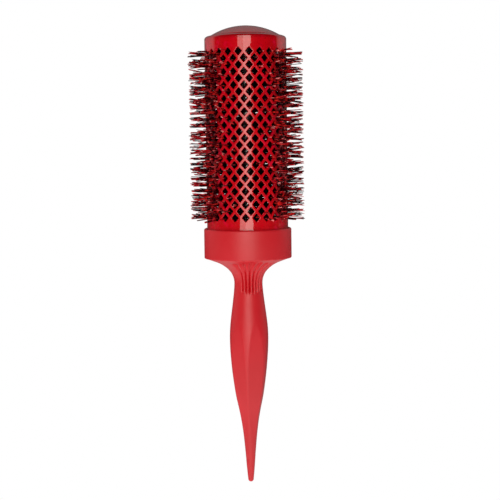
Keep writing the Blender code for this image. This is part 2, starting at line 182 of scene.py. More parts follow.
# Plug under the dome
PLUG_RADIUS = 20.3
PLUG_SKIRT_RADIUS = 18.6
PLUG_BOSS_RADIUS = 5.0


# ---------------------------------------------------------------- shapes

def polar(radius, angle, z):
    """A point at this radius, angle and height, in metres."""
    turn = math.radians(angle)
    return Vector((radius * math.sin(turn), -radius * math.cos(turn), z)) * MM


def arc(centre, radius, start, end, steps):
    """Points of an arc in the (radius, height) plane."""
    angles = [math.radians(start + (end - start) * i / steps) for i in range(steps + 1)]
    return [(centre[0] + radius * math.cos(a), centre[1] + radius * math.sin(a)) for a in angles]


def smooth_value(stations, place):
    """A smooth curve through stations of (place, value) in falling order of place."""
    index = 0
    while index < len(stations) - 2 and place < stations[index + 1][0]:
        index += 1
    (start, a), (end, b) = stations[index], stations[index + 1]

    def slope(i):
        before, after = stations[max(i - 1, 0)], stations[min(i + 1, len(stations) - 1)]
        return (after[1] - before[1]) / (after[0] - before[0])

    span = end - start
    t = min(max((place - start) / span, 0.0), 1.0)
    bend_a = slope(index) * span
    bend_b = slope(index + 1) * span
    return (
        a * (1 + 2 * t) * (1 - t) ** 2 + bend_a * t * (1 - t) ** 2
        + b * t * t * (3 - 2 * t) - bend_b * t * t * (1 - t)
    )


def fade(low, high, value):
    """0 below low, 1 above high, and smooth between."""
    t = min(max((value - low) / (high - low), 0.0), 1.0)
    return t * t * (3 - 2 * t)


class Shell:
    """Collects points and faces for one mesh."""

    def __init__(self):
        self.points = []
        self.faces = []

    def add(self, point):
        self.points.append(point)
        return len(self.points) - 1

    def ring(self, radius, z, sides, first_angle=0.0):
        if radius == 0:
            return [self.add(polar(0, 0, z))]
        return [self.add(polar(radius, first_angle + i * 360 / sides, z)) for i in range(sides)]

    def bridge(self, lower, upper):
        """Faces between two rings; one of them may be a single point."""
        for i in range(max(len(lower), len(upper))):
            low_a, low_b = lower[i % len(lower)], lower[(i + 1) % len(lower)]
            up_a, up_b = upper[i % len(upper)], upper[(i + 1) % len(upper)]
            self.faces.append(tuple(dict.fromkeys((low_a, low_b, up_b, up_a))))

    def bridge_all(self, rings):
        for lower, upper in zip(rings, rings[1:]):
            self.bridge(lower, upper)

    def mesh(self, name, sharp_angle):
        made = bpy.data.meshes.new(name)
        made.from_pydata(self.points, [], self.faces)
        bm = bmesh.new()
        bm.from_mesh(made)
        bmesh.ops.recalc_face_normals(bm, faces=bm.faces)
        bm.to_mesh(made)
        bm.free()
        made.shade_smooth()
        made.set_sharp_from_angle(angle=math.radians(sharp_angle))
        return made


def add_piece(name, mesh, finish, slot, *nodes):
    """Puts a finished mesh in the scene, in place of CAD nodes."""
    made = bpy.data.objects.new(name, mesh)
    mesh.materials.append(finish)
    bpy.context.scene.collection.objects.link(made)
    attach(made, BODY)
    if nodes:
        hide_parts(*nodes)
    return made


def turned_mesh(name, profile, sides, sharp_angle=40.0):
    """A solid of revolution; a profile that stays off the axis is closed into a ring."""
    shell = Shell()
    rings = [shell.ring(radius, z, sides) for radius, z in profile]
    shell.bridge_all(rings)
    if profile[0][0] > 0:
        shell.bridge(rings[-1], rings[0])
    return shell.mesh(name, sharp_angle)


def rounded_sleeve_profile(bore, radius, low, high, edge, steps=4):
    """A sleeve's cross-section with its two outer edges rounded."""
    centre = radius - edge
    outer = arc((centre, low + edge), edge, -90, 0, steps)
    outer += arc((centre, high - edge), edge, 0, 90, steps)
    return [(bore, low)] + outer + [(bore, high)]


# ---------------------------------------------------------------- barrel

def column_angle(column):
    return FIRST_COLUMN_ANGLE + column * COLUMN_STEP


def hole_outline(grow):
    """A diamond hole's outline grown by this much: three points at each corner, anticlockwise
    from the lower side of the right corner."""
    side = math.hypot(HOLE_HALF_WIDTH, HOLE_HALF_HEIGHT)
    inradius = HOLE_HALF_WIDTH * HOLE_HALF_HEIGHT / side
    scale = (inradius + grow) / inradius
    wide, high = HOLE_HALF_WIDTH * scale, HOLE_HALF_HEIGHT * scale
    corners = [Vector(c) for c in ((wide, 0), (0, high), (-wide, 0), (0, -high))]
    points = []
    for i, corner in enumerate(corners):
        before = corner.lerp(corners[i - 1], HOLE_CORNER / (side * scale))
        after = corner.lerp(corners[(i + 1) % 4], HOLE_CORNER / (side * scale))
        points += [before, (before + corner * 2 + after) / 4, after]
    return points


def is_hole(column, row):
    """Real holes fill the rows 0 to LAST_ROW on every second place."""
    return (column + row) % 2 == 0 and 0 <= row <= LAST_ROW


class Lattice(Shell):
    """The perforated wall: each hole has rings of points from the outside in, and flat webs
    fill what lies between the holes on both sides of the wall."""

    def __init__(self):
        super().__init__()
        self.outlines = [hole_outline(grow) for grow, _ in HOLE_RINGS]
        self.index = {}

    def hole_point(self, column, row, level, place):
        key = (column % COLUMNS, row, level, place)
        if key not in self.index:
            across, up = self.outlines[level][place]
            angle = column_angle(key[0]) + math.degrees(across / BARREL_RADIUS)
            z = FIRST_ROW_Z + row * ROW_STEP + up
            self.index[key] = self.add(polar(BARREL_RADIUS - HOLE_RINGS[level][1], angle, z))
        return self.index[key]

    def middle_point(self, column, row, level):
        key = (column % COLUMNS, row, level, "middle")
        if key not in self.index:
            radius = BARREL_RADIUS - HOLE_RINGS[level][1]
            z = FIRST_ROW_Z + row * ROW_STEP
            self.index[key] = self.add(polar(radius, column_angle(key[0]), z))
        return self.index[key]

    def add_hole_sides(self, column, row):
        for level in range(len(HOLE_RINGS) - 1):
            rings = [
                [self.hole_point(column, row, lev, place) for place in range(HOLE_POINTS)]
                for lev in (level, level + 1)
            ]
            self.bridge(*rings)

    def add_fan(self, column, row, level, points, closed):
        middle = self.middle_point(column, row, level)
        pairs = list(zip(points, points[1:]))
        if closed:
            pairs.append((points[-1], points[0]))
        self.faces += [(middle, a, b) for a, b in pairs]

    def add_crossing(self, column, row, level):
        """The web between four holes, or the half of one at the pattern's edge."""
        right = [(column + 1, row, p) for p in (8, 7, 6)]
        above = [(column, row + 1, p) for p in (11, 10, 9)]
        left = [(column - 1, row, p) for p in (2, 1, 0)]
        below = [(column, row - 1, p) for p in (5, 4, 3)]
        if row < 0:
            around = right[1:] + above + left[:2]
        elif row > LAST_ROW:
            around = left[1:] + below + right[:2]
        else:
            around = right + above + left + below
        points = [self.hole_point(c, r, level, p) for c, r, p in around]
        self.add_fan(column, row, level, points, 0 <= row <= LAST_ROW)

    def add_half_blank(self, column, row, level):
        """The filled half of a place without a hole at the pattern's edge."""
        places = (1, 2, 3, 4, 5, 6, 7) if row < 0 else (7, 8, 9, 10, 11, 0, 1)
        points = [self.hole_point(column, row, level, p) for p in places]
        self.add_fan(column, row, level, points, False)

    def add_struts(self, column, row, level):
        """The two webs that run from this place to the next column, up and down."""
        struts = []
        if row <= LAST_ROW:
            struts.append((row + 1, 2, 9, 8, 3))
        if row >= 0:
            struts.append((row - 1, 11, 6, 5, 0))
        for next_row, near_a, far_a, far_b, near_b in struts:
            self.faces.append((
                self.hole_point(column, row, level, near_a),
                self.hole_point(column + 1, next_row, level, far_a),
                self.hole_point(column + 1, next_row, level, far_b),
                self.hole_point(column, row, level, near_b),
            ))

    def edge_ring(self, row, level):
        """The points along the pattern's lower or upper edge, two for each column."""
        ring = []
        for column in range(COLUMNS):
            ring.append(self.middle_point(column, row, level))
            if (column + row) % 2 == 0:
                ring.append(self.hole_point(column, row, level, 1))
            else:
                ring.append(self.hole_point(column + 1, row, level, 7))
        return ring

    def build_pattern(self):
        last = len(HOLE_RINGS) - 1
        for row in range(-1, LAST_ROW + 2):
            for column in range(COLUMNS):
                if is_hole(column, row):
                    self.add_hole_sides(column, row)
                for level in (0, last):
                    if (column + row) % 2:
                        self.add_crossing(column, row, level)
                        continue
                    if not is_hole(column, row):
                        self.add_half_blank(column, row, level)
                    self.add_struts(column, row, level)

    def add_plain_band(self, row, profile):
        """A turned band from the pattern's outer edge round to its inner edge."""
        sides = COLUMNS * 2
        rings = [self.ring(radius, z, sides, FIRST_COLUMN_ANGLE) for radius, z in profile]
        outer, inner = self.edge_ring(row, 0), self.edge_ring(row, len(HOLE_RINGS) - 1)
        self.bridge_all([outer] + rings + [inner])


def barrel_foot_profile():
    inner = BARREL_RADIUS - BARREL_WALL
    start = FIRST_ROW_Z - ROW_STEP - 0.5
    edge = 0.2
    return [
        (BARREL_RADIUS, start), (BARREL_RADIUS, BARREL_BOTTOM + 8), (BARREL_RADIUS, BARREL_BOTTOM + edge),
        (BARREL_RADIUS - edge, BARREL_BOTTOM), (inner, BARREL_BOTTOM), (inner, start),
    ]


def rolled_top_profile():
    """From the pattern's top edge over the rolled shoulder to the lip, and back down inside."""
    start = FIRST_ROW_Z + (LAST_ROW + 1) * ROW_STEP + 0.5
    corner = SHOULDER_ROUNDING
    centre = (BARREL_RADIUS - corner, BARREL_TOP - LIP_RISE - corner)
    inner_radius = BARREL_RADIUS - BARREL_WALL
    lip_edge = 0.25
    profile = [(BARREL_RADIUS, start), (BARREL_RADIUS, BARREL_STRAIGHT_TOP)]
    profile += arc(centre, corner, 0, 78, 12)
    profile += arc((LIP_RADIUS + lip_edge, BARREL_TOP - lip_edge), lip_edge, 80, 180, 4)
    profile.append((LIP_RADIUS, BARREL_TOP - BARREL_WALL))
    profile += arc(centre, corner - BARREL_WALL, 75, 0, 6)
    profile += [(inner_radius, BARREL_STRAIGHT_TOP), (inner_radius, start)]
    return profile


def add_barrel(finish):
    lattice = Lattice()
    lattice.build_pattern()
    lattice.add_plain_band(-1, barrel_foot_profile())
    lattice.add_plain_band(LAST_ROW + 1, rolled_top_profile())
    mesh = lattice.mesh("perforated_barrel", 50.0)
    add_piece("perforated_barrel", mesh, finish, "red_lacquered_metal", "barrel_tube")


# ---------------------------------------------------------------- dome, plug, collar, ferrules

def sphere_height(radius, sphere_radius):
    return DOME_APEX - DOME_RADIUS + math.sqrt(sphere_radius ** 2 - radius ** 2)


def add_dome(finish):
    rim = 0.45
    outer = [DOME_NECK_RADIUS - rim] + [17.2 * (1 - i / 20) for i in range(20)]
    edge_z = sphere_height(DOME_NECK_RADIUS, DOME_RADIUS)
    flange_top = DOME_BOTTOM + 0.7
    profile = [(0.0, DOME_APEX)]
    profile += [(r, sphere_height(r, DOME_RADIUS)) for r in reversed(outer)]
    profile += [
        (DOME_NECK_RADIUS - 0.1, edge_z - 0.05), (DOME_NECK_RADIUS, edge_z - 0.3),
        (DOME_NECK_RADIUS, flange_top), (CAP_FLANGE_RADIUS - 0.7, flange_top),
        (CAP_FLANGE_RADIUS, flange_top - 0.4), (CAP_FLANGE_RADIUS, DOME_BOTTOM), (DOME_BORE, DOME_BOTTOM),
    ]
    under = DOME_RADIUS - DOME_SHELL
    profile += [(r, sphere_height(r, under)) for r in (DOME_BORE, 12.0, 8.0, 4.0)]
    profile.append((0.0, DOME_APEX - DOME_SHELL))
    add_piece("dome_end", turned_mesh("dome_end", profile, 144), finish, "red_lacquered_cap", "dome_cap")


def add_plug(finish):
    low, high = cad_heights("cap_plug")
    floor, boss_bottom = low + 2.6, low + 1.1
    edge = 0.3
    profile = [
        (0.0, high - 0.3), (CORE_BORE, high - 0.3), (CORE_BORE, boss_bottom),
        (PLUG_BOSS_RADIUS - edge, boss_bottom), (PLUG_BOSS_RADIUS, boss_bottom + edge),
        (PLUG_BOSS_RADIUS, floor), (PLUG_SKIRT_RADIUS, floor), (PLUG_SKIRT_RADIUS, low),
        (PLUG_RADIUS - edge, low), (PLUG_RADIUS, low + edge), (PLUG_RADIUS, high - edge),
        (PLUG_RADIUS - edge, high), (0.0, high),
    ]
    add_piece("top_plug", turned_mesh("top_plug", profile, 96), finish, "plug_plastic", "cap_plug")


def add_collar(finish):
    low, lower_edge, upper_edge = COLLAR_BOTTOM - COLLAR_SEAT, 0.55, 0.9
    profile = [(COLLAR_BORE, low)]
    profile += arc((COLLAR_RADIUS - lower_edge, low + lower_edge), lower_edge, -90, 0, 6)
    profile += arc((COLLAR_RADIUS - upper_edge, COLLAR_TOP - upper_edge), upper_edge, 0, 90, 8)
    profile += [(COLLAR_BORE + 0.1, COLLAR_TOP), (COLLAR_BORE, COLLAR_TOP - 0.1)]
    mesh = turned_mesh("collar_band", profile, COLLAR_SIDES)
    add_piece("collar_band", mesh, finish, "collar_soft_touch", "collar")


def add_ferrules(finish):
    for name, node in (("lower_ferrule", "base_ferrule"), ("upper_ferrule", "top_ferrule")):
        low, high = cad_heights(node)
        profile = rounded_sleeve_profile(CORE_BORE, FERRULE_RADIUS, low, high, 0.35)
        add_piece(name, turned_mesh(name, profile, 48), finish, "ferrule_steel", node)


# ---------------------------------------------------------------- grip

def off_centre(angle, centre, step):
    """The angle from the nearest of several equally spaced directions."""
    return (angle - centre + step / 2) % step - step / 2


def soft_min(a, b, width):
    """The smaller of two values, with the corner between them rounded."""
    blend = max(width - abs(a - b), 0.0) / width
    return min(a, b) - blend * blend * width / 4


def flute_depth(angle, radius, z):
    """How deep the long grooves under the collar are here; the outer ones are a little shorter."""
    for centre in FLUTE_CENTRES:
        off = (angle - centre + 180) % 360 - 180
        number = max(-FLUTES_EACH_SIDE, min(FLUTES_EACH_SIDE, round(off / FLUTE_STEP)))
        across = abs(math.radians(off - number * FLUTE_STEP)) * radius
        bottom = FLUTE_BOTTOM + 0.25 * abs(number)
        top = FLUTE_TOP - 0.2 * abs(number)
        rise, fall = FLUTE_FADE_LENGTHS
        strength = fade(bottom, bottom + rise, z) * (1 - fade(top - fall, top, z))
        half_width = math.radians(FLUTE_STEP / 2) * radius
        if across < half_width:
            return FLUTE_DEPTH * strength * (1 - across / half_width) ** 2
    return 0.0


def grip_point(angle, z):
    radius = smooth_value(GRIP_OUTLINE, z)
    depth = smooth_value(FACET_DEPTH, z)
    if depth < 1.0:
        face = depth * radius / math.cos(math.radians(off_centre(angle, HANDLE_TURN, FACET_STEP)))
        radius = soft_min(radius, face, FACET_EDGE)
    if FLUTE_BOTTOM < z < FLUTE_TOP:
        step = 0.2
        slope = (smooth_value(GRIP_OUTLINE, z + step) - smooth_value(GRIP_OUTLINE, z - step)) / (2 * step)
        length = math.hypot(1, slope)
        depth = flute_depth(angle, radius, z)
        return polar(radius - depth / length, angle, z + depth * slope / length)
    return polar(radius, angle, z)


def grip_heights():
    """Heights that are evenly spaced along the outline."""
    heights = []
    z = GRIP_OUTLINE[0][0]
    while z > GRIP_OUTLINE[-1][0]:
        heights.append(z)
        slope = (smooth_value(GRIP_OUTLINE, z) - smooth_value(GRIP_OUTLINE, z - 0.1)) / 0.1
        z -= GRIP_RING_STEP / math.hypot(1, slope)
    return heights


def add_grip(finish):
    """The faceted outer surface, and the blind hollow that holds the handle core."""
    shell = Shell()
    step = 360 / GRIP_SIDES
    angles = [HANDLE_TURN + i * step for i in range(GRIP_SIDES)]
    rings = [[shell.add(grip_point(a, z)) for a in angles] for z in grip_heights()]
    for radius, z in arc((0, GRIP_OUTLINE[-1][0]), TIP_RADIUS, 0, -90, 6)[:-1]:
        rings.append(shell.ring(radius, z, GRIP_SIDES, HANDLE_TURN))
    rings.append(shell.ring(0, GRIP_OUTLINE[-1][0] - TIP_RADIUS, 1))
    top = GRIP_OUTLINE[0][0]
    stations = [HOLLOW_SHOULDER - i * HOLLOW_RING_STEP for i in range(13)]
    hollow = [(HOLLOW_NECK_RADIUS, top)]
    hollow += [(smooth_value(GRIP_OUTLINE, z) - SKIN_THICKNESS, z) for z in stations]
    inside = [shell.ring(radius, z, GRIP_SIDES, HANDLE_TURN) for radius, z in hollow]
    inside.append(shell.ring(0, HOLLOW_BOTTOM, 1))
    shell.bridge_all(rings)
    shell.bridge(rings[0], inside[0])
    shell.bridge_all(inside)
    add_piece("grip_shell", shell.mesh("grip_shell", 50.0), finish, "grip_soft_touch", "grip_skin")


# ---------------------------------------------------------------- wires and bristles

def add_tube_ring(shell, point, across, up, radius, sides):
    """A ring of points round a place on a path, in the plane of two directions."""
    ring = []
    for k in range(sides):
        turn = 2 * math.pi * k / sides
        offset = (across * math.cos(turn) + up * math.sin(turn)) * radius
        ring.append(shell.add((point + offset) * MM))
    return ring


def sweep(shell, path, radii, sides):
    """A tube with closed ends along a path of points in millimetres."""
    rings = []
    side = Vector((0.0, 0.0, 1.0))
    for i, point in enumerate(path):
        ahead = path[min(i + 1, len(path) - 1)] - path[max(i - 1, 0)]
        ahead.normalize()
        if abs(ahead.dot(side)) > 0.95:
            side = Vector((1.0, 0.0, 0.0))
        across = ahead.cross(side).normalized()
        up = across.cross(ahead)
        if radii[i] == 0:
            rings.append([shell.add(point * MM)])
        else:
            rings.append(add_tube_ring(shell, point, across, up, radii[i], sides))
    shell.bridge_all(rings)
    shell.faces.append(tuple(rings[0]))
    if len(rings[-1]) > 1:
        shell.faces.append(tuple(rings[-1]))


def wire_path(start_angle):
    """Straight up to the twist, then turning to the right as it rises."""
    steps = round((WIRE_TOP - TWIST_BOTTOM) / TWIST_LEAD * TWIST_POINTS_PER_TURN)
    heights = [WIRE_BOTTOM + (TWIST_BOTTOM - WIRE_BOTTOM) * i / 8 for i in range(8)]
    heights += [TWIST_BOTTOM + (WIRE_TOP - TWIST_BOTTOM) * i / steps for i in range(steps + 1)]
    path = []
    for z in heights:
        angle = start_angle + 360 * max(z - TWIST_BOTTOM, 0.0) / TWIST_LEAD
        path.append(polar(TWIST_RADIUS, angle, z) / MM)
    return path


def helix_tube(shell, path, radius, sides):
    """A tube whose rings keep their turn about Z, so that a steep helix doesn't twist."""
    rings = []
    for i, point in enumerate(path):
        ahead = (path[min(i + 1, len(path) - 1)] - path[max(i - 1, 0)]).normalized()
        outward = Vector((point.x, point.y, 0)).normalized()
        across = ahead.cross(outward).normalized()
        up = across.cross(ahead)
        rings.append(add_tube_ring(shell, point, across, up, radius, sides))
    shell.bridge_all(rings)
    shell.faces.append(tuple(rings[0]))
    shell.faces.append(tuple(rings[-1]))


def add_wires(finish):
    for number in (1, 2):
        shell = Shell()
        helix_tube(shell, wire_path(180.0 * (number - 1)), WIRE_RADIUS, 12)
        name = f"wire_strand_{number}"
        add_piece(name, shell.mesh(name, 50.0), finish, "wire_steel", f"core_wire_{number}")


def add_filament_roots(finish):
    """The filaments' clamped middles, which cross between the two wires as they twist."""
    dice = random.Random(7)
    shell = Shell()
    low, high = cad_heights("filament_roots")
    margin = 0.4
    for i in range(FILAMENT_ROOTS):
        z = low + margin + (high - low - 2 * margin) * i / (FILAMENT_ROOTS - 1)
        turn = dice.uniform(-FILAMENT_ROOT_TURN, FILAMENT_ROOT_TURN)
        angle = 90 + 360 * (z - TWIST_BOTTOM) / TWIST_LEAD + turn
        reach = dice.uniform(*FILAMENT_ROOT_REACH)
        ends = [polar(reach, angle, z + dice.uniform(-0.3, 0.3)) / MM, polar(reach, angle + 180, z) / MM]
        path = [ends[0], ends[0].lerp(ends[1], 0.5), ends[1]]
        sweep(shell, path, [FILAMENT_ROOT_RADIUS] * len(path), 5)
    mesh = shell.mesh("filament_middles", 50.0)
    add_piece("filament_middles", mesh, finish, "root_nylon", "filament_roots")


class Clump:
    """A few filaments that leave a hole side by side and stay together to their tips."""

    def __init__(self, dice):
        self.across, self.up = hole_spot(dice)
        self.fan_across = CLUMP_FAN_PER_OFFSET[0] * self.across + dice.gauss(0, CLUMP_FAN_SPREAD[0])
        self.fan_up = CLUMP_FAN_PER_OFFSET[1] * self.up + dice.gauss(0, CLUMP_FAN_SPREAD[1])
        self.shortfall = abs(dice.gauss(0, CLUMP_SHORTFALL))


def scatter(dice, limits):
    """A random offset across and up, within these limits either way."""
    return [dice.uniform(-limit, limit) for limit in limits]


def hole_spot(dice):
    """A place inside a hole, clear of its sides, measured from the hole's centre."""
    while True:
        across, up = scatter(dice, CLUMP_PLACES)
        if abs(across) / HOLE_HALF_WIDTH + abs(up) / HOLE_HALF_HEIGHT < CLUMP_SHARE_OF_HOLE:
            return across, up


def filament_path(dice, z, clump):
    """From the core through the hole to the tip, as (radius, across, height) points."""
    offset = scatter(dice, FILAMENT_PLACES)
    across, up = clump.across + offset[0], clump.up + offset[1]
    tip = BRISTLE_TIP_RADIUS - clump.shortfall - abs(dice.gauss(0, FILAMENT_SHORTFALL))
    reach = tip - BARREL_RADIUS
    fan_across = clump.fan_across + dice.gauss(0, FILAMENT_FAN_SPREAD[0])
    fan_up = clump.fan_up + dice.gauss(0, FILAMENT_FAN_SPREAD[1])
    bend = dice.gauss(0, FILAMENT_BEND)
    root_up = dice.uniform(-ROOT_RISE, ROOT_RISE)
    root = Vector((ROOT_RADIUS, dice.uniform(-ROOT_SIDEWAYS, ROOT_SIDEWAYS), z + root_up))
    inner = Vector((HALFWAY_RADIUS, 0.5 * across, z + 0.3 * up + 0.7 * root_up))
    wall = Vector((BARREL_RADIUS - BARREL_WALL / 2, across, z + up))
    half = 0.5 * reach
    middle = Vector((BARREL_RADIUS + half, across + half * fan_across, z + up + half * fan_up + bend))
    end = Vector((tip, across + reach * fan_across, z + up + reach * fan_up))
    return [root, inner, wall, middle, end]


def curve_through(points, steps):
    """A smooth path through a few points."""
    path = []
    for i in range(len(points) - 1):
        before, start = points[max(i - 1, 0)], points[i]
        end, after = points[i + 1], points[min(i + 2, len(points) - 1)]
        for k in range(steps):
            t = k / steps
            path.append(
                0.5 * (2 * start + (end - before) * t + (2 * before - 5 * start + 4 * end - after) * t ** 2
                       + (3 * start - before - 3 * end + after) * t ** 3)
            )
    path.append(points[-1])
    return path


def add_filament(shell, dice, angle, path):
    outward = polar(1, angle, 0) / MM
    across = polar(1, angle + 90, 0) / MM
    path = curve_through(path, 2)
    placed = [outward * p.x + across * p.y + Vector((0, 0, p.z)) for p in path]
    tip_way = (placed[-1] - placed[-2]).normalized()
    radius = FILAMENT_RADIUS * dice.uniform(*FILAMENT_VARIATION)
    end = placed[-1]
    placed += [end + tip_way * radius * past for past, _ in FILAMENT_TIP]
    radii = [radius] * len(path) + [radius * width for _, width in FILAMENT_TIP]
    sweep(shell, placed, radii, FILAMENT_SIDES)


def hole_rows(column):
    """The rows of a column that have holes, as heights."""
    return [FIRST_ROW_Z + row * ROW_STEP for row in range(column % 2, LAST_ROW + 1, 2)]


def bristle_row_mesh(number, column):
    dice = random.Random(1000 + number)
    shell = Shell()
    for z in hole_rows(column):
        for _ in range(CLUMPS_PER_TUFT + is_band_edge(column)):
            clump = Clump(dice)
            for _ in range(dice.choice(FILAMENTS_PER_CLUMP)):
                add_filament(shell, dice, column_angle(column), filament_path(dice, z, clump))
    return shell.mesh(f"bristles_{number:02d}", 50.0)


def is_band_edge(column):
    """True for the outermost columns at either side of a band of bristles."""
    place = column % COLUMNS_PER_HALF
    low, high = BRISTLE_COLUMNS.start + BAND_EDGE_COLUMNS, BRISTLE_COLUMNS.stop - BAND_EDGE_COLUMNS
    return place < low or place >= high


def has_bristles(column):
    return column % COLUMNS_PER_HALF in BRISTLE_COLUMNS


def add_bristles(finish):
    columns = [column for column in range(COLUMNS) if has_bristles(column)]
    for number, column in enumerate(columns, 1):
        made = bristle_row_mesh(number, column)
        add_piece(made.name, made, finish, "bristle_nylon", f"bristle_row_{number:02d}")


def add_stray_bristles(finish):
    """Odd filaments through the clear strips' holes, more of them beside the bristle bands."""
    dice = random.Random(77)
    shell = Shell()
    for column in range(COLUMNS):
        if has_bristles(column):
            continue
        angle = column_angle(column)
        turned = abs(off_centre(angle, 0.0, 180.0))
        chance = next(chance for limit, chance in STRAY_CHANCES if turned < limit)
        longest = min(STRAY_TIP_RADIUS, STRAY_REACH / math.cos(math.radians(turned)))
        for z in hole_rows(column):
            if dice.random() > chance:
                continue
            clump = Clump(dice)
            for _ in range(dice.choice(STRAYS_PER_HOLE)):
                path = filament_path(dice, z, clump)
                tip = longest - abs(dice.gauss(0, STRAY_SHORTFALL))
                path[4] = path[2].lerp(path[4], (tip - path[2].x) / (path[4].x - path[2].x))
                path[3] = path[2].lerp(path[4], 0.5)
                add_filament(shell, dice, angle, path)
    add_piece("stray_bristles", shell.mesh("stray_bristles", 50.0), finish, "bristle_nylon")


def add_inner_filaments(finish):
    """Filaments over the clear strips that missed the holes and end inside the barrel."""
    dice = random.Random(41)
    shell = Shell()
    low, high = cad_heights("filament_roots")
    for _ in range(INNER_FILAMENTS):
        angle = dice.choice((0.0, 180.0)) + dice.choice((-1, 1)) * dice.uniform(*INNER_ANGLES)
        z = dice.uniform(low + 1.0, high - 1.0)
        tip = dice.uniform(*INNER_TIP_RADII)
        side, rise = [dice.gauss(0, spread) for spread in INNER_SLOPES]
        distances = (ROOT_RADIUS, 7.0, 12.0, 0.5 * (12.0 + tip), tip)
        path = [Vector((r, side * r, z + rise * r)) for r in distances]
        add_filament(shell, dice, angle, path)
    add_piece("inner_filaments", shell.mesh("inner_filaments", 50.0), finish, "bristle_nylon")


# ---------------------------------------------------------------- materials

def linear(colour):
    """Screen values from 0 to 255 as linear light."""
    values = [c / 255 for c in colour]
    return (*(v / 12.92 if v <= 0.04045 else ((v + 0.055) / 1.055) ** 2.4 for v in values), 1.0)


class Finish:
    """A node material that starts as one shader and gains its details step by step."""

    def __init__(self, name, metallic=0.0, coat=0.0, specular=0.5):
        self.material = bpy.data.materials.new(name)
        self.material.use_nodes = True
        self.tree = self.material.node_tree
        self.shader = self.tree.nodes["Principled BSDF"]
        self.shader.inputs["Metallic"].default_value = metallic
        self.shader.inputs["Coat Weight"].default_value = coat
        self.shader.inputs["Specular IOR Level"].default_value = specular
        self.place = self.tree.nodes.new("ShaderNodeTexCoord").outputs["Object"]
        self.normal = None

    def link(self, start, end):
        self.tree.links.new(start, end)

    def noise(self, scale, detail=3.0, stretch=(1, 1, 1)):
        """Noise from 0 to 1; scale is in cycles per metre."""
        mapping = self.tree.nodes.new("ShaderNodeMapping")
        mapping.inputs["Scale"].default_value = stretch
        self.link(self.place, mapping.inputs["Vector"])
        made = self.tree.nodes.new("ShaderNodeTexNoise")
        made.inputs["Scale"].default_value = scale
        made.inputs["Detail"].default_value = detail
        self.link(mapping.outputs["Vector"], made.inputs["Vector"])
        return made.outputs["Fac"]

    def ramp(self, value, start, end, low=0.0, high=1.0):
        """A value's span from start to end stretched to the span from low to high."""
        made = self.tree.nodes.new("ShaderNodeMapRange")
        made.inputs["From Min"].default_value = start
        made.inputs["From Max"].default_value = end
        made.inputs["To Min"].default_value = low
        made.inputs["To Max"].default_value = high
        self.link(value, made.inputs["Value"])
        return made.outputs["Result"]

    def mix(self, factor, first, second):
        made = self.tree.nodes.new("ShaderNodeMix")
        made.data_type = "RGBA"
        self.link(factor, made.inputs["Factor"])
        for value, socket in ((first, made.inputs["A"]), (second, made.inputs["B"])):
            if isinstance(value, tuple):
                socket.default_value = linear(value)
            else:
                self.link(value, socket)
        return made.outputs["Result"]

    def multiply(self, first, second):
        made = self.tree.nodes.new("ShaderNodeMath")
        made.operation = "MULTIPLY"
        self.link(first, made.inputs[0])
        self.link(second, made.inputs[1])
        return made.outputs["Value"]

    def axis_place(self, axis):
        """The point's X, Y or Z on the brush, in metres."""
        split = self.tree.nodes.new("ShaderNodeSeparateXYZ")
        self.link(self.place, split.inputs["Vector"])
        return split.outputs[axis]

    def from_strip(self):
        """How far round the brush the point is from the middle of a clear strip, as a sine."""
        sideways = self.tree.nodes.new("ShaderNodeMath")
        sideways.operation = "ABSOLUTE"
        self.link(self.axis_place("X"), sideways.inputs[0])
        sine = self.tree.nodes.new("ShaderNodeMath")
        sine.operation = "DIVIDE"
        self.link(sideways.outputs["Value"], sine.inputs[0])
        self.link(self.from_axis(), sine.inputs[1])
        return sine.outputs["Value"]

    def from_axis(self):
        """The point's distance from the brush's axis, in metres."""
        flat = self.tree.nodes.new("ShaderNodeVectorMath")
        flat.operation = "MULTIPLY"
        flat.inputs[1].default_value = (1, 1, 0)
        self.link(self.place, flat.inputs[0])
        length = self.tree.nodes.new("ShaderNodeVectorMath")
        length.operation = "LENGTH"
        self.link(flat.outputs["Vector"], length.inputs[0])
        return length.outputs["Value"]

    def colour(self, value):
        self.link(value, self.shader.inputs["Base Color"])

    def roughness(self, value, low, high, socket="Roughness"):
        """Roughness from low to high over the middle of a noise's span."""
        self.link(self.ramp(value, 0.3, 0.7, low, high), self.shader.inputs[socket])

    def bump(self, value, height_mm, coat=False):
        """Adds relief of this height on top of what is there already."""
        made = self.tree.nodes.new("ShaderNodeBump")
        made.inputs["Strength"].default_value = 1.0
        made.inputs["Distance"].default_value = height_mm * MM
        self.link(value, made.inputs["Height"])
        if self.normal:
            self.link(self.normal, made.inputs["Normal"])
        self.normal = made.outputs["Normal"]
        self.link(self.normal, self.shader.inputs["Normal"])
        if coat:
            self.link(self.normal, self.shader.inputs["Coat Normal"])


def painted_shade_among_bristles(made):
    """Painted shade between the bristles: 0 on the clear strips and plain ends, and toward 1 deep between
    the bristles.
    """
    beside = made.ramp(made.from_strip(), 0.60, 0.80)
    height = made.axis_place("Z")
    above = made.ramp(height, (FIRST_ROW_Z - 1.5) * MM, (FIRST_ROW_Z + 0.5) * MM)
    last = FIRST_ROW_Z + LAST_ROW * ROW_STEP
    below = made.ramp(height, (last + 1.5) * MM, (last - 0.5) * MM)
    patchy = made.ramp(made.noise(260.0), 0.2, 0.55)
    return made.multiply(made.multiply(above, below), made.multiply(beside, patchy))


def start_lacquer(name):
    """What the barrel's and the dome's lacquer share: a strong clear coat with a slight wave."""
    made = Finish(name, coat=1.0, specular=0.05)
    made.shader.inputs["Coat IOR"].default_value = 1.8
    made.roughness(made.noise(500.0), 0.34, 0.44)
    made.bump(made.noise(55.0, 1.0), 0.02, coat=True)
    return made


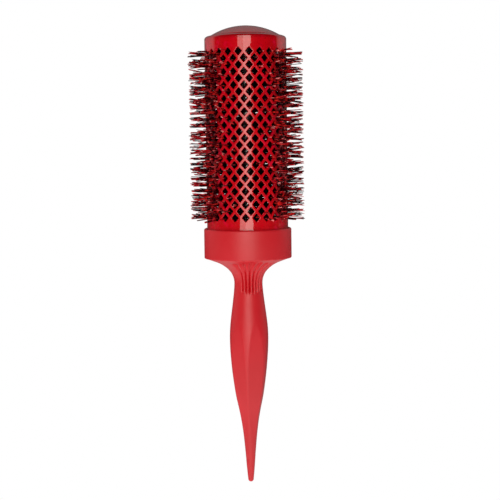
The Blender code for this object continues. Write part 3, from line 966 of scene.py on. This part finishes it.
def lacquered_metal(name, bright, deep):
    """Clear-coated red with painted shade: darker at the rim, and dark and dull between the bristles;
    stained beside the bristles.
    """
    made = start_lacquer(name)
    paint = made.mix(made.ramp(made.noise(70.0), 0.3, 0.7), deep, bright)
    spots = made.ramp(made.noise(300.0), 0.52, 0.68)
    stains = made.multiply(made.ramp(made.from_strip(), 0.2, 0.6), spots)
    paint = made.mix(stains, paint, (224, 0, 52))
    # Painted shade: the last 3.2 mm below the rolled top darken toward the lip
    rim = made.ramp(made.axis_place("Z"), (BARREL_TOP - 3.2) * MM, BARREL_TOP * MM)
    paint = made.mix(rim, paint, (128, 0, 8))
    # Painted shade: the barrel turns dark red and loses its clear coat between the bristles
    bristle_shade = painted_shade_among_bristles(made)
    made.colour(made.mix(bristle_shade, paint, (60, 1, 6)))
    made.link(made.ramp(bristle_shade, 1.1, 0.0), made.shader.inputs["Coat Weight"])
    made.roughness(made.noise(900.0, 4.0, (1, 1, 0.15)), 0.04, 0.09, "Coat Roughness")
    return made.material


def lacquered_cap(name, bright, deep):
    """The same lacquer on the moulded dome, with fine rubbing marks."""
    made = start_lacquer(name)
    made.colour(made.mix(made.ramp(made.noise(90.0, 4.0), 0.3, 0.7), deep, bright))
    made.roughness(made.noise(700.0, 4.0, (1, 0.2, 1)), 0.05, 0.14, "Coat Roughness")
    return made.material


def soft_touch(name, light, dark):
    """A satin coating with a fine grain and specks of lint."""
    made = Finish(name, specular=0.9)
    body = made.mix(made.ramp(made.noise(45.0, 4.0), 0.3, 0.7), dark, light)
    lint = made.ramp(made.noise(1100.0, 1.0), 0.80, 0.84)
    made.colour(made.mix(lint, body, (226, 120, 116)))
    made.roughness(made.noise(420.0), 0.42, 0.48)
    made.bump(made.noise(2600.0, 2.0), 0.004)
    made.bump(made.noise(200.0, 2.0), 0.008)
    return made.material


def bristle_nylon(name, tips_from):
    """Each filament has its own red, from nearly black to vivid, in vivid and dark patches: partly varying
    tone, partly painted shade and painted light in the mass of filaments.  It is duller at its free end,
    painted dark inside the barrel as shade and paler at its cut tip as a painted highlight."""
    made = Finish(name, specular=0.55)
    island = made.tree.nodes.new("ShaderNodeNewGeometry").outputs["Random Per Island"]
    # Near-black and vivid filaments: painted shade and painted light among the filaments, on top of their
    # varying tone
    body = made.mix(made.ramp(island, 0.36, 0.52), (26, 0, 4), (136, 2, 15))
    vivid = made.mix(made.ramp(island, 0.88, 0.90), (255, 52, 44), (250, 92, 100))
    free_end = made.ramp(made.from_axis(), 23.5 * MM, 26.5 * MM)
    vivid = made.mix(free_end, vivid, (184, 12, 26))
    body = made.mix(made.ramp(island, 0.58, 0.74), body, vivid)
    # Vivid and dark patches: painted light and painted shade over groups of filaments
    patch = made.noise(300.0, 2.0)
    body = made.mix(made.ramp(patch, 0.44, 0.38), body, vivid)
    body = made.mix(made.ramp(patch, 0.49, 0.57), body, (24, 0, 4))
    # Painted shade: filaments go near black inside the barrel
    inside = made.ramp(made.from_axis(), 23.5 * MM, 20.5 * MM)
    body = made.mix(inside, body, (24, 0, 4))
    # Painted highlight: the outer ends of many filaments turn pale pink
    tips = made.ramp(made.from_axis(), tips_from * MM, (tips_from + 1.2) * MM)
    tip_highlight = made.multiply(tips, made.ramp(island, 0.35, 0.6))
    made.colour(made.mix(tip_highlight, body, (248, 140, 140)))
    made.roughness(made.noise(900.0), 0.14, 0.28)
    made.bump(made.noise(3500.0, 1.0), 0.008)
    return made.material


def root_nylon():
    made = Finish("root_nylon")
    made.colour(made.mix(made.noise(800.0), (30, 2, 6), (96, 6, 16)))
    made.roughness(made.noise(900.0), 0.35, 0.5)
    made.bump(made.noise(3000.0, 1.0), 0.01)
    return made.material


def bare_steel(name, light, dark, roughness, metallic=1.0):
    made = Finish(name, metallic=metallic)
    made.colour(made.mix(made.ramp(made.noise(350.0), 0.3, 0.7), dark, light))
    made.roughness(made.noise(1500.0, 2.0, (1, 1, 0.12)), roughness - 0.07, roughness + 0.07)
    made.bump(made.noise(4000.0, 2.0, (1, 1, 0.08)), 0.004)
    return made.material


def moulded_plastic(name, light, dark):
    made = Finish(name, specular=0.45)
    made.colour(made.mix(made.ramp(made.noise(120.0), 0.3, 0.7), dark, light))
    made.roughness(made.noise(600.0), 0.42, 0.55)
    made.bump(made.noise(1800.0, 2.0), 0.008)
    return made.material


# ---------------------------------------------------------------- stage, light, camera

# Camera: where it stands, in millimetres and degrees, and how it is turned
CAMERA_DISTANCE = 634.0
CAMERA_HEIGHT = 102.4
CAMERA_ANGLE = -1.15
CAMERA_DROP = 4.784
CAMERA_AIM = 0.096
CAMERA_ROLL = -0.75
LENS = 86.04

# Light from the room, the floor and the softboxes
FLOOR_Z = -260.0
FLOOR_REACH = 8000.0
SOFTBOX_AIM_Z = 50.0
WARM = (1.0, 0.93, 0.86)
FILL_LIGHT = 0.10
FLOOR_LIGHT = 0.10
FLOOR_SHINE = (0.5, 0.04)
ROOM_LIGHT = ((0.0, 0.008), (0.08, 0.008), (0.24, 0.5), (0.5, 0.5), (0.86, 0.24), (1.0, 0.1))


def light_by_ray(tree, seen, scattered, mirrored):
    """Light that looks one strength, lights rough surfaces by another and glossy ones by a third."""
    path = tree.nodes.new("ShaderNodeLightPath")

    def choose(factor, first, second):
        made = tree.nodes.new("ShaderNodeMix")
        tree.links.new(factor, made.inputs["Factor"])
        for value, socket in ((first, made.inputs["A"]), (second, made.inputs["B"])):
            if isinstance(value, float):
                socket.default_value = value
            else:
                tree.links.new(value, socket)
        return made.outputs["Result"]

    unseen = choose(path.outputs["Is Glossy Ray"], scattered, mirrored)
    return choose(path.outputs["Is Camera Ray"], unseen, seen)


def add_floor():
    """A wide pale floor, well below the brush's point."""
    finish = bpy.data.materials.new("floor_white")
    finish.use_nodes = True
    tree = finish.node_tree
    tree.nodes.clear()
    glow = tree.nodes.new("ShaderNodeEmission")
    place = tree.nodes.new("ShaderNodeTexCoord")
    away = tree.nodes.new("ShaderNodeVectorMath")
    away.operation = "LENGTH"
    tree.links.new(place.outputs["Object"], away.inputs[0])
    pool = tree.nodes.new("ShaderNodeMapRange")
    pool.inputs["From Min"].default_value = 0.6
    pool.inputs["From Max"].default_value = 1.2
    pool.inputs["To Min"].default_value = FLOOR_SHINE[0]
    pool.inputs["To Max"].default_value = FLOOR_SHINE[1]
    tree.links.new(away.outputs["Value"], pool.inputs["Value"])
    tree.links.new(light_by_ray(tree, 1.0, FLOOR_LIGHT, pool.outputs["Result"]), glow.inputs["Strength"])
    out = tree.nodes.new("ShaderNodeOutputMaterial")
    tree.links.new(glow.outputs["Emission"], out.inputs["Surface"])
    reach, z = FLOOR_REACH * MM, FLOOR_Z * MM
    mesh = bpy.data.meshes.new("floor")
    corners = [(-reach, -reach, z), (reach, -reach, z), (reach, reach, z), (-reach, reach, z)]
    mesh.from_pydata(corners, [], [(0, 1, 2, 3)])
    mesh.materials.append(finish)
    floor = bpy.data.objects.new("floor", mesh)
    bpy.context.scene.collection.objects.link(floor)


def add_world():
    """A pale room behind the brush and a dark one in front of it, with even fill light."""
    world = bpy.data.worlds.new("studio")
    bpy.context.scene.world = world
    world.use_nodes = True
    tree = world.node_tree
    tree.nodes.clear()
    place = tree.nodes.new("ShaderNodeTexCoord")
    split = tree.nodes.new("ShaderNodeSeparateXYZ")
    tree.links.new(place.outputs["Generated"], split.inputs["Vector"])
    room = tree.nodes.new("ShaderNodeFloatCurve")
    points = room.mapping.curves[0].points
    while len(points) < len(ROOM_LIGHT):
        points.new(0.5, 0.5)
    for point, (depth, strength) in zip(points, ROOM_LIGHT):
        point.location = (depth, strength)
        point.handle_type = "VECTOR"
    room.mapping.update()
    tree.links.new(split.outputs["Y"], room.inputs["Value"])
    background = tree.nodes.new("ShaderNodeBackground")
    background.inputs["Color"].default_value = (1, 1, 1, 1)
    strength = light_by_ray(tree, 1.0, FILL_LIGHT, room.outputs["Value"])
    tree.links.new(strength, background.inputs["Strength"])
    out = tree.nodes.new("ShaderNodeOutputWorld")
    tree.links.new(background.outputs["Background"], out.inputs["Surface"])


def add_softbox(name, angle, rise, distance, size, radiance, mirrored=True):
    """A flat light at this angle round the brush and this angle above it, aimed at it."""
    light = bpy.data.lights.new(name, "AREA")
    light.shape = "RECTANGLE"
    light.size, light.size_y = size[0] * MM, size[1] * MM
    light.energy = radiance * math.pi * light.size * light.size_y
    light.color = WARM
    made = bpy.data.objects.new(name, light)
    bpy.context.scene.collection.objects.link(made)
    centre = Vector((0, 0, SOFTBOX_AIM_Z)) * MM
    flat = distance * math.cos(math.radians(rise))
    made.location = centre + polar(flat, angle, distance * math.sin(math.radians(rise)))
    made.rotation_euler = (centre - made.location).to_track_quat("-Z", "Y").to_euler()
    made.visible_glossy = mirrored
    made.visible_camera = False


def add_camera():
    data = bpy.data.cameras.new("camera")
    data.sensor_width = 36.0
    data.lens = LENS
    data.clip_start = 0.01
    data.clip_end = 50.0
    camera = bpy.data.objects.new("camera", data)
    bpy.context.scene.collection.objects.link(camera)
    place = polar(CAMERA_DISTANCE, CAMERA_ANGLE, CAMERA_HEIGHT)
    turn = Matrix.Rotation(math.radians(CAMERA_ANGLE - CAMERA_AIM), 4, "Z")
    drop = Matrix.Rotation(math.radians(90 - CAMERA_DROP), 4, "X")
    roll = Matrix.Rotation(math.radians(CAMERA_ROLL), 4, "Z")
    camera.matrix_world = Matrix.Translation(place) @ turn @ drop @ roll
    bpy.context.scene.camera = camera


def finish_hidden_nodes(core, steel):
    """Better materials for the handle core and the pins, which stay as they are."""
    for name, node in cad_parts.items():
        if name == "handle_core" or name.startswith("tube_pin"):
            node.data.materials.clear()
            node.data.materials.append(core if name == "handle_core" else steel)


bpy.context.scene.view_settings.view_transform = "Standard"
add_camera()
add_world()
add_floor()
add_softbox("front_softbox", 3.0, 3.0, 1400.0, (540, 1300), 2.6)
add_softbox("front_left_softbox", -15.5, 3.0, 1400.0, (350, 1300), 1.7)
add_softbox("front_fill", -14.0, 8.0, 1500.0, (900, 900), 2.85, mirrored=False)
add_softbox("left_fill", -95.0, 10.0, 1500.0, (1400, 1400), 1.0, mirrored=False)
add_softbox("right_fill", 95.0, 10.0, 1500.0, (1400, 1400), 0.4, mirrored=False)
add_softbox("back_fill", 180.0, 25.0, 1500.0, (1400, 1400), 1.6, mirrored=False)
add_softbox("top_fill", 0.0, 88.0, 1500.0, (1400, 1400), 0.3, mirrored=False)
add_softbox("under_fill", 0.0, -88.0, 290.0, (1400, 1400), 1.2, mirrored=False)

add_barrel(lacquered_metal("red_lacquered_metal", (206, 0, 20), (190, 0, 14)))
# The dome's reds are a darker copy of the barrel's lacquer: painted shade on the upward-facing dome
add_dome(lacquered_cap("red_lacquered_cap", (178, 0, 15), (160, 0, 11)))
add_plug(moulded_plastic("plug_plastic", (70, 14, 16), (50, 8, 10)))
add_collar(soft_touch("collar_soft_touch", (206, 0, 26), (198, 0, 20)))
add_grip(soft_touch("grip_soft_touch", (208, 0, 27), (200, 0, 21)))
add_ferrules(bare_steel("ferrule_steel", (190, 190, 192), (140, 138, 136), 0.34))
add_wires(bare_steel("wire_steel", (244, 240, 234), (206, 202, 196), 0.22, metallic=0.9))
add_filament_roots(root_nylon())
nylon = bristle_nylon("bristle_nylon", 29.2)
stray_nylon = bristle_nylon("stray_nylon", 26.4)
add_bristles(nylon)
add_stray_bristles(stray_nylon)
add_inner_filaments(nylon)
finish_hidden_nodes(
    moulded_plastic("core_plastic", (228, 225, 216), (212, 208, 198)),
    bare_steel("pin_steel", (182, 184, 188), (150, 150, 152), 0.3),
)
